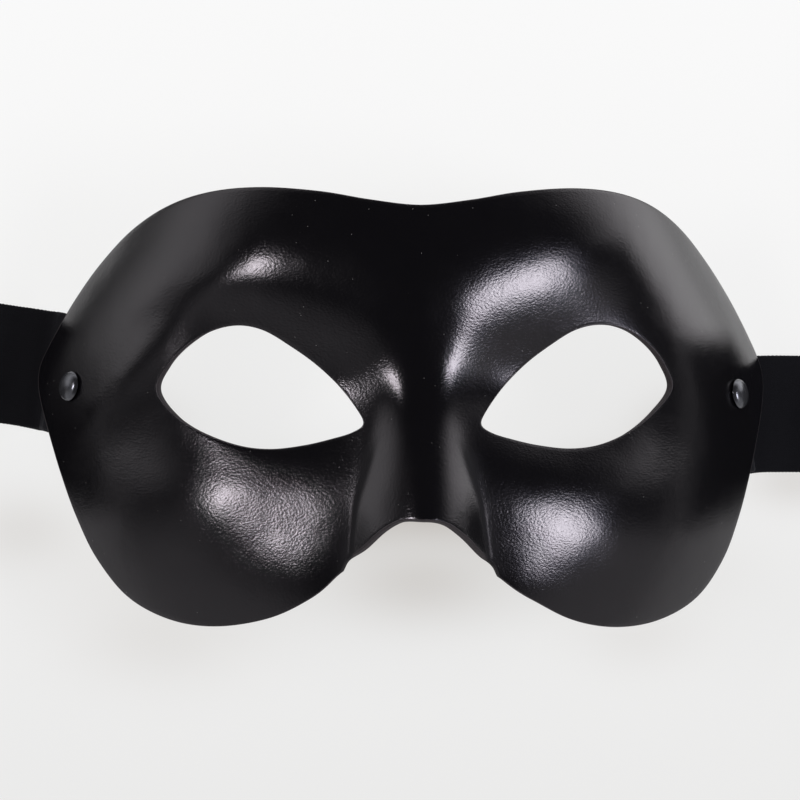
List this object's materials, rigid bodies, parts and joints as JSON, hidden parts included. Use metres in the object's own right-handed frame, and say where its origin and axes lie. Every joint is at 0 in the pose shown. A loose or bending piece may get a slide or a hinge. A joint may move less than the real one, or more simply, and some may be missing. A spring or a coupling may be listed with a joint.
{
  "type": "leather eye mask",
  "caption": "Black moulded leather half mask with almond eye holes and a nose notch, and a flat elastic strap riveted inside both temples",
  "frame": {"origin": "on the table, under the middle of the box round the mask and its folded strap", "axes": "+Z out of the mask's face, +Y towards the brow, X from temple to temple"},
  "size_m": [0.2182, 0.1072, 0.0784],
  "materials": {
    "leather": "polished black leather",
    "rivet": "dark gunmetal",
    "elastic": "matt black woven elastic"
  },
  "bodies": {
    "root": {"mask_shell": "leather", "rivet_left": "rivet", "rivet_right": "rivet", "strap": "elastic"}
  },
  "joints": []
}
